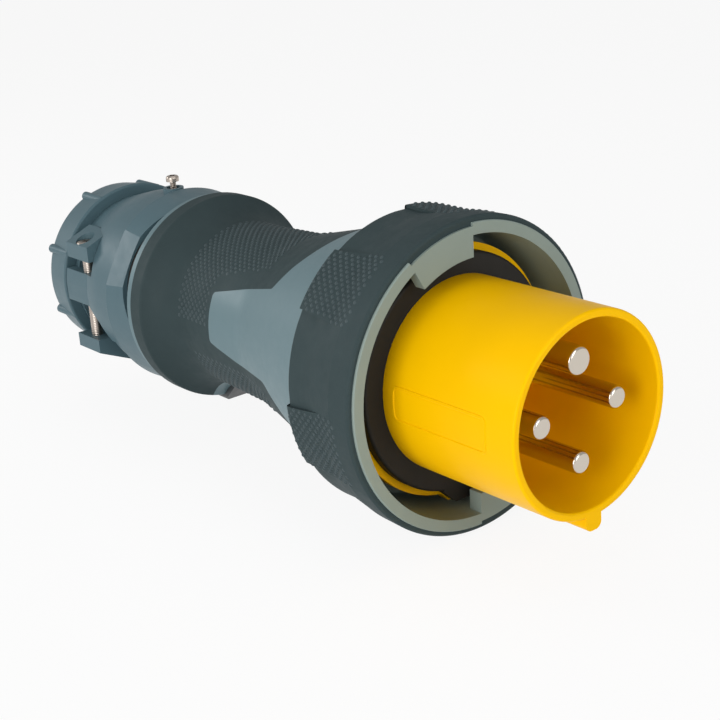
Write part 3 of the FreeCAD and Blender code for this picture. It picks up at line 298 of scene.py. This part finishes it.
def make_piece(name: str, points: list[Corner], faces: list[tuple[int, ...]], finish: Finish, body: Body,
               smooth_deg: float = 30.0) -> bpy.types.Object:
    """Make a mesh piece from points in millimetres, dress it and let it ride.

    Args:
        name: Name of the piece.
        points: Corners in millimetres.
        faces: Corner numbers of each face.
        finish: Finish that it takes.
        body: Body that it moves with.
        smooth_deg: Largest angle between faces that is shaded smooth.

    Returns:
        The new object.
    """
    mesh = bpy.data.meshes.new(name)
    mesh.from_pydata([tuple(value * MM for value in place) for place in points], [], faces)
    mesh.validate()
    mesh.shade_smooth()
    mesh.set_sharp_from_angle(angle=math.radians(smooth_deg))
    mesh.materials.append(finish.material())
    piece = bpy.data.objects.new(name, mesh)
    bpy.context.scene.collection.objects.link(piece)
    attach(piece, body.value)
    LOG.info("made %s: %d faces on %s", name, len(faces), body.value)
    return piece


def around(x: float, radius: float, angle: float) -> Corner:
    """Point at a station along the axis, at a radius and an angle in degrees from +Y towards +Z."""
    turn = math.radians(angle)
    return x, radius * math.cos(turn), radius * math.sin(turn)


class Carrier:
    """Surface of a node of the frame, found by rays that run from outside towards the axis."""

    start_r: float = 90.0
    depth: float = 70.0

    def __init__(self, node: str) -> None:
        """Index the node's faces, in millimetres.

        Args:
            node: Name of the node.
        """
        bpy.context.view_layer.update()
        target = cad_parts[node]
        points = [(target.matrix_world @ vertex.co) / MM for vertex in target.data.vertices]
        self.tree = BVHTree.FromPolygons(points, [tuple(face.vertices) for face in target.data.polygons])

    def radius(self, x: float, angle: float) -> float | None:
        """Outer radius of the node at a station and an angle.

        Args:
            x: Station in millimetres.
            angle: Angle in degrees.

        Returns:
            The radius in millimetres, or None where the node is open.
        """
        inwards = Vector(around(0.0, -1.0, angle))
        hit = self.tree.ray_cast(Vector(around(x, self.start_r, angle)), inwards, self.depth)[0]
        return None if hit is None else math.hypot(hit.y, hit.z)


@dataclass
class Knurl:
    """Field of small separate domes on a diagonal lattice, each sunk a little into its carrier.

    The profile gives each loop of a dome, from the top to the foot, as shares of its radius and its height.
    """

    pitch_mm: float = 3.15
    dome_r: float = 0.88
    height_mm: float = 0.5
    sink_mm: float = 0.12
    profile: tuple[tuple[float, float], ...] = ((0.5, 0.8), (0.82, 0.38), (1.0, 0.0))
    corners: int = 10
    smooth_deg: float = 60.0

    def build(self, name: str, stations: tuple[float, float], angles: tuple[float, float], carrier: Carrier,
              height_share: Callable[[float, float, float], float], body: Body) -> bpy.types.Object:
        """Make the field.

        Args:
            name: Name of the piece.
            stations: Rear and front station in millimetres.
            angles: First and last angle in degrees.
            carrier: Surface that bears the domes, also in the middle of the field.
            height_share: Share of the height at a station, angle and radius; zero or less leaves one out.
            body: Body that it moves with.

        Returns:
            The new object.
        """
        half = self.pitch_mm / 2
        rows = round((stations[1] - stations[0]) / half)
        middle = carrier.radius(sum(stations) / 2, sum(angles) / 2)
        columns = 2 * round(math.radians(angles[1] - angles[0]) * middle / half / 2)
        points: list[Corner] = []
        faces: list[tuple[int, ...]] = []
        for row in range(rows + 1):
            x = stations[0] + (stations[1] - stations[0]) * row / rows
            for column in range(row % 2, columns + 1, 2):
                angle = angles[0] + (angles[1] - angles[0]) * column / columns
                radius = carrier.radius(x, angle)
                share = -1.0 if radius is None else min(height_share(x, angle, radius), 1.0)
                if share > 0:
                    self.add_dome(points, faces, carrier, x, angle, share)
        # The domes take the paler rubber, painted highlight on the knurl
        return make_piece(name, points, faces, KNURL_HIGHLIGHT_RUBBER, body, self.smooth_deg)

    def add_dome(self, points: list[Corner], faces: list[tuple[int, ...]], carrier: Carrier, x: float,
                 angle: float, share: float) -> None:
        """Add one dome to a mesh; it is left out where its foot would overhang the carrier.

        Args:
            points: Points of the mesh, in millimetres.
            faces: Faces of the mesh.
            carrier: Surface that bears the dome.
            x: Station of its centre.
            angle: Angle of its centre.
            share: Share of the full height.
        """
        middle = carrier.radius(x, angle)
        height = self.height_mm * share
        dome: list[Corner] = [around(x, middle + height, angle)]
        for reach, rise in self.profile:
            for number in range(self.corners):
                turn = 2 * math.pi * number / self.corners
                at_x = x + self.dome_r * reach * math.cos(turn)
                at_angle = angle + math.degrees(self.dome_r * reach * math.sin(turn) / middle)
                radius = carrier.radius(at_x, at_angle)
                if radius is None or abs(radius - middle) > self.dome_r:
                    return
                lift = height * rise if rise else -self.sink_mm
                dome.append(around(at_x, radius + lift, at_angle))
        first = len(points)
        points += dome
        count = self.corners
        for number in range(count):
            after = (number + 1) % count
            faces.append((first, first + 1 + number, first + 1 + after))
            for ring in range(len(self.profile) - 1):
                low = first + 1 + ring * count
                faces.append((low + number, low + count + number, low + count + after, low + after))


@dataclass
class ScrewThread:
    """Helical ridge on the shank of an upright screw, its foot and crest given as shares of the pitch."""

    pitch_mm: float
    root_r: float
    crest_r: float
    foot_share: float = 0.42
    crest_share: float = 0.063
    steps: int = 20
    smooth_deg: float = 35.0

    def build(self, name: str, place: tuple[float, float], heights: tuple[float, float],
              body: Body) -> bpy.types.Object:
        """Make the ridge.

        Args:
            name: Name of the piece.
            place: X and Y of the screw's axis in millimetres.
            heights: Lower and upper end of the ridge.
            body: Body that it moves with.

        Returns:
            The new object.
        """
        count = int((heights[1] - heights[0]) / self.pitch_mm * self.steps)
        foot, top = self.pitch_mm * self.foot_share, self.pitch_mm * self.crest_share
        points: list[Corner] = []
        for number in range(count + 1):
            turn = 2 * math.pi * number / self.steps
            z = heights[0] + self.pitch_mm * number / self.steps
            crest = self.root_r if number in (0, count) else self.crest_r
            for radius, step in ((self.root_r, -foot), (crest, -top), (crest, top), (self.root_r, foot)):
                x, y = place[0] + radius * math.cos(turn), place[1] + radius * math.sin(turn)
                points.append((x, y, min(max(z + step, heights[0]), heights[1])))
        faces: list[tuple[int, ...]] = []
        for number in range(count):
            for edge in range(3):
                low = number * 4 + edge
                faces.append((low, low + 4, low + 5, low + 1))
        return make_piece(name, points, faces, ZINC_PLATE, body, self.smooth_deg)


@dataclass
class ContactInsert:
    """Yellow insert with its pins, gasket and terminals."""

    shroud_r: float = 35.6
    frame_stations: tuple[float, float] = (4.6, 49.8)
    frame_angles: tuple[float, float] = (168.5, 190.0)
    frame_width: float = 1.0
    frame_height: float = 0.3
    frame_sink: float = 0.15
    frame_round: float = 2.6
    corner_steps: int = 6
    side_steps: int = 24
    smooth_deg: float = 50.0

    def frame_outline(self, inset: float) -> list[tuple[float, float]]:
        """Rounded rectangle of the frame on the unrolled shroud, with its sides cut into steps.

        Args:
            inset: How far it is drawn in, in millimetres.

        Returns:
            Places along the axis and around it, in millimetres.
        """
        per_degree = self.shroud_r * math.pi / 180
        low_x, high_x = self.frame_stations
        low_y, high_y = (angle * per_degree for angle in self.frame_angles)
        corner_r = self.frame_round - inset
        back_x, front_x = low_x + inset + corner_r, high_x - inset - corner_r
        near_y, far_y = low_y + inset + corner_r, high_y - inset - corner_r
        centres = ((front_x, far_y), (back_x, far_y), (back_x, near_y), (front_x, near_y))
        bends = []
        for number, (x, y) in enumerate(centres):
            for step in range(self.corner_steps + 1):
                turn = math.radians(90 * (number + step / self.corner_steps))
                bends.append((x + corner_r * math.cos(turn), y + corner_r * math.sin(turn)))
        places = []
        for number, (x, y) in enumerate(bends):
            next_x, next_y = bends[(number + 1) % len(bends)]
            ends_corner = number % (self.corner_steps + 1) == self.corner_steps
            steps = self.side_steps if ends_corner else 1
            for step in range(steps):
                share = step / steps
                places.append((x + (next_x - x) * share, y + (next_y - y) * share))
        return places

    def build_frame(self) -> bpy.types.Object:
        """Raise the rounded frame on the shroud's side, whose field is left bare.

        Returns:
            The frame.
        """
        degree_per_mm = 180 / (self.shroud_r * math.pi)
        bevel = self.frame_height
        loops = ((0.0, -self.frame_sink), (bevel, self.frame_height), (self.frame_width, self.frame_height),
                 (self.frame_width + bevel, -self.frame_sink))
        points: list[Corner] = []
        for inset, height in loops:
            places = self.frame_outline(inset)
            points += [around(x, self.shroud_r + height, y * degree_per_mm) for x, y in places]
        count = len(places)
        faces: list[tuple[int, ...]] = []
        for ring in range(len(loops) - 1):
            for number in range(count):
                after = (number + 1) % count
                faces.append((ring * count + number, ring * count + after,
                              (ring + 1) * count + after, (ring + 1) * count + number))
        return make_piece(
            "shroud_frame", points, faces, YELLOW_POLYAMIDE, Body.HOUSING, self.smooth_deg,
        )

    def build(self) -> None:
        """Dress the nodes and add the frame."""
        dress(YELLOW_POLYAMIDE, "contact_shroud")
        dress(SEAL_RUBBER, "face_gasket", "insert_seal")
        dress(BLACK_POLYAMIDE, "terminal_carrier")
        dress(NICKEL_PLATE, "earth_pin", "line_pin_1", "line_pin_2", "line_pin_3")
        dress(ZINC_PLATE, "terminal_screws", "carrier_screws")
        self.build_frame()


@dataclass
class LockingRing:
    """Locking ring: hard core, rubber cover and the knurl of its six pads."""

    cover_r: float = 50.0
    pad_count: int = 6
    pad_first_centre: float = 15.0
    pad_span: float = 30.0
    pad_margin: float = 0.7
    pad_flare: float = 3.2
    pad_ends: tuple[float, float] = (-28.0, -3.0)
    pad_stations: tuple[float, float] = (-26.4, -0.9)
    end_tolerance: float = 0.05
    fade_x: float = -5.0
    fade_share: float = 0.6
    knurl: Knurl = field(default_factory=Knurl)

    def centres(self) -> list[float]:
        """Angles of the pads' middles, in degrees."""
        return [self.pad_first_centre + number * 360 / self.pad_count for number in range(self.pad_count)]

    def flare(self, x: float) -> float:
        """Angle in degrees by which a pad's end draws in at a station, most at the rear and none in front."""
        along = (self.pad_ends[1] - x) / (self.pad_ends[1] - self.pad_ends[0])
        return self.pad_flare * max(0.0, min(1.0, along))

    def knurl_share(self, x: float, angle: float, centre: float) -> float:
        """Share of the knurl's height on a pad, whose ends flare forwards and whose front fades out.

        Args:
            x: Station in millimetres.
            angle: Angle in degrees.
            centre: Angle of the pad's middle.

        Returns:
            Share of the height, zero or less where the skin stays smooth.
        """
        if abs(angle - centre) > self.pad_span / 2 - self.pad_margin - self.flare(x):
            return -1.0
        faded = max(0.0, (x - self.fade_x) / (self.pad_stations[1] - self.fade_x))
        return 1.0 - self.fade_share * faded

    def build_cover(self) -> bpy.types.Object:
        """Make the rubber cover anew from its node, with the ends of the pads flared forwards.

        Returns:
            The cover.
        """
        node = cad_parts["ring_grip"]
        points: list[Corner] = []
        for vertex in node.data.vertices:
            x, y, z = (node.matrix_world @ vertex.co) / MM
            radius, angle = math.hypot(y, z), math.degrees(math.atan2(z, y))
            for centre in self.centres():
                off = (angle - centre + 180) % 360 - 180
                if radius > self.cover_r and abs(abs(off) - self.pad_span / 2) < self.end_tolerance:
                    angle -= math.copysign(self.flare(x), off)
                    break
            points.append(around(x, radius, angle))
        faces = [tuple(face.vertices) for face in node.data.polygons]
        cover = make_piece("ring_cover", points, faces, SLATE_RUBBER, Body.RING)
        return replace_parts(cover, "ring_grip")

    def build(self) -> None:
        """Dress the core, draw in the pads' ends and lay the knurl on each pad."""
        dress(RING_POLYAMIDE, "locking_ring")
        self.build_cover()
        carrier = Carrier("ring_grip")
        half = self.pad_span / 2
        for number, centre in enumerate(self.centres(), start=1):
            self.knurl.build(
                f"pad_knurl_{number}", self.pad_stations, (centre - half, centre + half), carrier,
                lambda x, angle, radius, middle=centre: self.knurl_share(x, angle, middle),
                Body.RING,
            )


@dataclass(frozen=True)
class NeckField:
    """One field of the neck's knurl, between two stations and two angles."""

    name: str
    stations: tuple[float, float]
    angles: tuple[float, float]


@dataclass
class Handle:
    """Two-material handle: light shell, rubber grip with its knurl, latch and joint seal.

    The panel's outline is its side view, as stations and heights. The knurl keeps further off its long upper
    side, which long_side numbers.
    """

    fields: tuple[NeckField, ...] = (
        NeckField("neck_knurl", (-128.4, -70.0), (6.0, 174.0)),
        NeckField("neck_knurl_low", (-122.1, -70.0), (200.0, 340.0)),
    )
    front_x: float = -77.0
    front_z: float = 30.0
    front_slope: float = 0.6
    end_fade: float = 10.0
    end_share: float = 0.3
    edge_share: float = 0.45
    edge_rise: float = 4.0
    panel_rear: float = -106.8
    panel_side: tuple[tuple[float, float], ...] = (
        (-41.0, 52.0), (-52.0, 42.2), (-60.5, 33.5), (-66.5, 25.6), (panel_rear, 16.4),
        (panel_rear, -3.0), (-87.0, -8.0), (-65.0, -8.0), (-58.5, -16.5), (-41.0, -52.0),
    )
    long_side: int = 3
    margin_above: float = 6.0
    margin_slant: float = 1.6
    margin_below: float = 2.0
    margin_behind: float = 2.2
    knurl: Knurl = field(default_factory=lambda: Knurl(height_mm=0.42))

    def margin(self, x: float, height: float, side: int) -> float:
        """Room that the knurl keeps from one side of the panel's outline.

        Args:
            x: Station in millimetres.
            height: Height in millimetres.
            side: Number of the side.

        Returns:
            The room in millimetres.
        """
        if x < self.panel_rear:
            return self.margin_behind
        if height <= 0:
            return self.margin_below
        return self.margin_above if side == self.long_side else self.margin_slant

    def panel_gap(self, x: float, height: float) -> float:
        """Distance to the light panel, counted in margins.

        Args:
            x: Station in millimetres.
            height: Height in millimetres.

        Returns:
            Distance over the margin there, or zero inside the panel.
        """
        nearest = math.inf
        inside = False
        for number, (x1, z1) in enumerate(self.panel_side):
            x2, z2 = self.panel_side[(number + 1) % len(self.panel_side)]
            if (z1 > height) != (z2 > height) and x < x1 + (height - z1) * (x2 - x1) / (z2 - z1):
                inside = not inside
            length_squared = (x2 - x1) ** 2 + (z2 - z1) ** 2
            along = ((x - x1) * (x2 - x1) + (height - z1) * (z2 - z1)) / length_squared
            along = max(0.0, min(1.0, along))
            away = math.hypot(x - x1 - along * (x2 - x1), height - z1 - along * (z2 - z1))
            nearest = min(nearest, away / self.margin(x, height, number))
        return 0.0 if inside else nearest

    def knurl_share(self, x: float, angle: float, radius: float, angles: tuple[float, float]) -> float:
        """Share of the knurl's height on the neck, which stops short of the panel and fades at its ends.

        Args:
            x: Station in millimetres.
            angle: Angle in degrees.
            radius: Radius of the grip there.
            angles: First and last angle of the field.

        Returns:
            Share of the height, zero or less where the skin stays smooth.
        """
        height = radius * math.sin(math.radians(angle))
        gap = self.panel_gap(x, height)
        if gap < 1.0 or x > self.front_x + max(self.front_z - abs(height), 0.0) * self.front_slope:
            return -1.0
        by_panel = self.edge_share + (gap - 1.0) * self.edge_rise
        by_end = self.end_share + min(angle - angles[0], angles[1] - angle) / self.end_fade
        return min(1.0, by_panel, by_end)

    def build(self) -> None:
        """Dress the nodes and lay the knurl over the neck."""
        dress(GREY_POLYAMIDE, "handle_shell")
        dress(SLATE_RUBBER, "handle_grip")
        dress(BLACK_POLYAMIDE, "latch")
        dress(SEAL_RUBBER, "joint_seal")
        carrier = Carrier("handle_grip")
        for part in self.fields:
            self.knurl.build(
                part.name, part.stations, part.angles, carrier,
                lambda x, angle, radius, ends=part.angles: self.knurl_share(x, angle, radius, ends),
                Body.HOUSING,
            )


@dataclass
class RearHousing:
    """Rear housing with its locking screw, cord clamp and gland."""

    clamp_place: tuple[float, float] = (-198.3, 33.6)
    clamp_heights: tuple[float, float] = (-26.9, 14.9)
    locking_place: tuple[float, float] = (-177.0, 0.0)
    locking_heights: tuple[float, float] = (39.5, 44.8)

    def build(self) -> None:
        """Dress the nodes and cut the threads of the screws that show."""
        # Housing, clamps and nut take the darker copy of the grey, painted shade of the rear end
        dress(PAINTED_SHADE_POLYAMIDE, "rear_housing", "upper_clamp", "lower_clamp", "gland_nut")
        dress(ZINC_PLATE, "housing_screw", "clamp_screws", "clamp_nuts")
        dress(SEAL_RUBBER, "cable_seal")
        dress(BLACK_POLYAMIDE, "thrust_ring")
        clamp_x, clamp_y = self.clamp_place
        clamp_thread = ScrewThread(pitch_mm=0.8, root_r=2.37, crest_r=2.52)
        for y, name in ((-clamp_y, "clamp_thread_near"), (clamp_y, "clamp_thread_far")):
            clamp_thread.build(name, (clamp_x, y), self.clamp_heights, Body.UPPER_JAW)
        locking_thread = ScrewThread(pitch_mm=0.6, root_r=1.18, crest_r=1.36)
        locking_thread.build("locking_thread", self.locking_place, self.locking_heights, Body.HOUSING)


@dataclass(frozen=True)
class Lamp:
    """Square soft lamp: where it stands, the point that it faces, its side and its power in watts."""

    name: str
    place_mm: Corner
    aim_mm: Corner
    side_mm: float
    watts: float

    def build(self) -> None:
        """Hang the lamp and turn it to its aim."""
        data = bpy.data.lights.new(self.name, "AREA")
        data.shape = "SQUARE"
        data.size = self.side_mm * MM
        data.energy = self.watts
        lamp = bpy.data.objects.new(self.name, data)
        bpy.context.scene.collection.objects.link(lamp)
        lamp.location = Vector(self.place_mm) * MM
        lamp.rotation_mode = "QUATERNION"
        lamp.rotation_quaternion = (Vector(self.aim_mm) - Vector(self.place_mm)).to_track_quat("-Z", "Y")


@dataclass
class Studio:
    """Plain pale floor, soft light and the camera, fitted to the rims, pins and ring of the photograph."""

    camera_place: Corner = (374.9, -338.11, 186.56)
    camera_turn_deg: Corner = (70.3777, 3.8638, 50.5317)
    lens_mm: float = 76.425
    sensor_mm: float = 36.0
    clip_m: tuple[float, float] = (0.01, 100.0)
    floor_z: float = -57.9
    floor_half: float = 4000.0
    floor_shown: float = 0.9
    fill: float = 0.32
    mirrored: float = 0.5
    bounce: float = 0.2
    lamps: tuple[Lamp, ...] = (
        Lamp("key_lamp", (220, -900, 150), (-10, 0, -10), 600, 5.8),
        Lamp("front_lamp", (800, 0, 300), (0, 0, 0), 500, 2.5),
        Lamp("top_lamp", (-80, 60, 800), (-40, 0, 0), 600, 1.05),
        Lamp("rear_lamp", (-860, -470, 340), (-170, -30, 20), 280, 2.0),
    )

    def set_camera(self) -> None:
        """Place the camera and make it the scene's."""
        data = bpy.data.cameras.new("plug_camera")
        data.lens = self.lens_mm
        data.sensor_width = self.sensor_mm
        data.sensor_fit = "HORIZONTAL"
        data.clip_start, data.clip_end = self.clip_m
        camera = bpy.data.objects.new("plug_camera", data)
        bpy.context.scene.collection.objects.link(camera)
        camera.location = Vector(self.camera_place) * MM
        camera.rotation_euler = [math.radians(angle) for angle in self.camera_turn_deg]
        bpy.context.scene.camera = camera

    def set_floor(self) -> None:
        """Lay the floor, whose paper shows nearly white and keeps a soft shadow."""
        half = self.floor_half * MM
        z = self.floor_z * MM
        mesh = bpy.data.meshes.new("floor")
        corners = [(-half, -half, z), (half, -half, z), (half, half, z), (-half, half, z)]
        mesh.from_pydata(corners, [], [(0, 1, 2, 3)])
        paper = bpy.data.materials.new("floor_paper")
        paper.use_nodes = True
        tree = paper.node_tree
        tree.nodes.clear()
        matt = add_node(tree, "ShaderNodeBsdfDiffuse", {"Color": linear("F4F4F4")})
        glow = add_node(tree, "ShaderNodeEmission", {"Color": linear("FFFFFF"), "Strength": 1.0})
        seen = add_node(tree, "ShaderNodeLightPath")
        bare = add_node(tree, "ShaderNodeMath", {
            0: seen.outputs["Is Camera Ray"], 1: seen.outputs["Is Glossy Ray"],
        }, operation="MAXIMUM")
        shown = add_node(tree, "ShaderNodeMath", {
            0: bare.outputs[0], 1: self.floor_shown,
        }, operation="MULTIPLY")
        share = add_node(tree, "ShaderNodeMath", {
            0: shown.outputs[0], 1: self.bounce,
        }, operation="MAXIMUM")
        blend = add_node(tree, "ShaderNodeMixShader", {
            0: share.outputs[0], 1: matt.outputs[0], 2: glow.outputs[0],
        })
        add_node(tree, "ShaderNodeOutputMaterial", {"Surface": blend.outputs[0]})
        mesh.materials.append(paper)
        floor = bpy.data.objects.new("floor", mesh)
        bpy.context.scene.collection.objects.link(floor)

    def set_world(self) -> None:
        """White surroundings that also fill the shadows."""
        world = bpy.data.worlds.new("studio_world")
        world.use_nodes = True
        tree = world.node_tree
        tree.nodes.clear()
        seen = add_node(tree, "ShaderNodeLightPath")
        glossy = add_node(tree, "ShaderNodeMix", {
            0: seen.outputs["Is Glossy Ray"], 2: self.fill, 3: self.mirrored,
        }, data_type="FLOAT")
        strength = add_node(tree, "ShaderNodeMix", {
            0: seen.outputs["Is Camera Ray"], 2: glossy.outputs[0], 3: 1.0,
        }, data_type="FLOAT")
        sky = add_node(tree, "ShaderNodeBackground", {
            "Color": linear("FFFFFF"), "Strength": strength.outputs[0],
        })
        add_node(tree, "ShaderNodeOutputWorld", {"Surface": sky.outputs[0]})
        bpy.context.scene.world = world

    def build(self) -> None:
        """Set up camera, floor, surroundings and lamps."""
        self.set_camera()
        self.set_floor()
        self.set_world()
        for lamp in self.lamps:
            lamp.build()
        bpy.context.scene.view_settings.view_transform = "Standard"


def main() -> None:
    """Build the sub-assemblies in order."""
    logging.basicConfig(level=logging.INFO, format="%(message)s", stream=sys.stdout)
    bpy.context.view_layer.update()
    Studio().build()
    ContactInsert().build()
    LockingRing().build()
    Handle().build()
    RearHousing().build()


if __name__ == "__main__":
    main()
